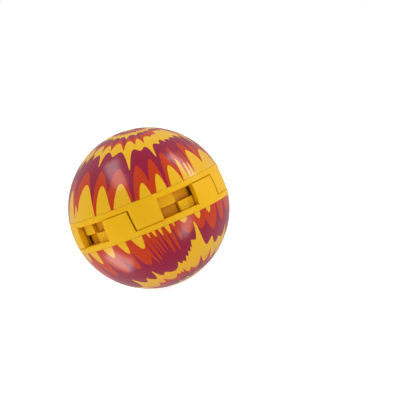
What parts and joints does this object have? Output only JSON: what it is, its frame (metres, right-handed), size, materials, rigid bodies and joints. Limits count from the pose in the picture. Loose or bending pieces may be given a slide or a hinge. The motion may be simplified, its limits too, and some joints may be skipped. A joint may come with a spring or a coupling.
{
  "type": "juggling ball",
  "caption": "Hard hollow juggling ball: two printed domes on toothed locking rings that slide together, twist to lock, and hold a weight.",
  "frame": {"origin": "centre of the ball", "axes": "+Z through the pole of the upper dome, -Y towards the front of the toothed band, +X to the right seen from the front"},
  "size_m": [0.0657, 0.066, 0.066],
  "materials": {
    "printed_dome": "gloss, printed in burgundy, orange and yellow bursts",
    "ring_plastic": "moulded, lightly polished yellow",
    "weight_steel": "turned",
    "pad_foam": "closed-cell foam"
  },
  "bodies": {
    "lower_half": {"lower_dome": "printed_dome", "lower_lock_ring": "ring_plastic", "lower_pad": "pad_foam"},
    "weight": {"ballast_weight": "weight_steel"},
    "upper_half": {"upper_dome": "printed_dome", "upper_lock_ring": "ring_plastic", "upper_pad": "pad_foam"}
  },
  "joints": [
    {"name": "twist", "type": "hinge", "parent": "lower_half", "child": "weight", "pos_m": [0, 0, 0], "axis": [0, 0, 1], "range_deg": [0, 13.9]},
    {"name": "lift_off", "type": "slide", "parent": "weight", "child": "upper_half", "axis": [0, 0, 1], "range_m": [0, 0.03]}
  ]
}
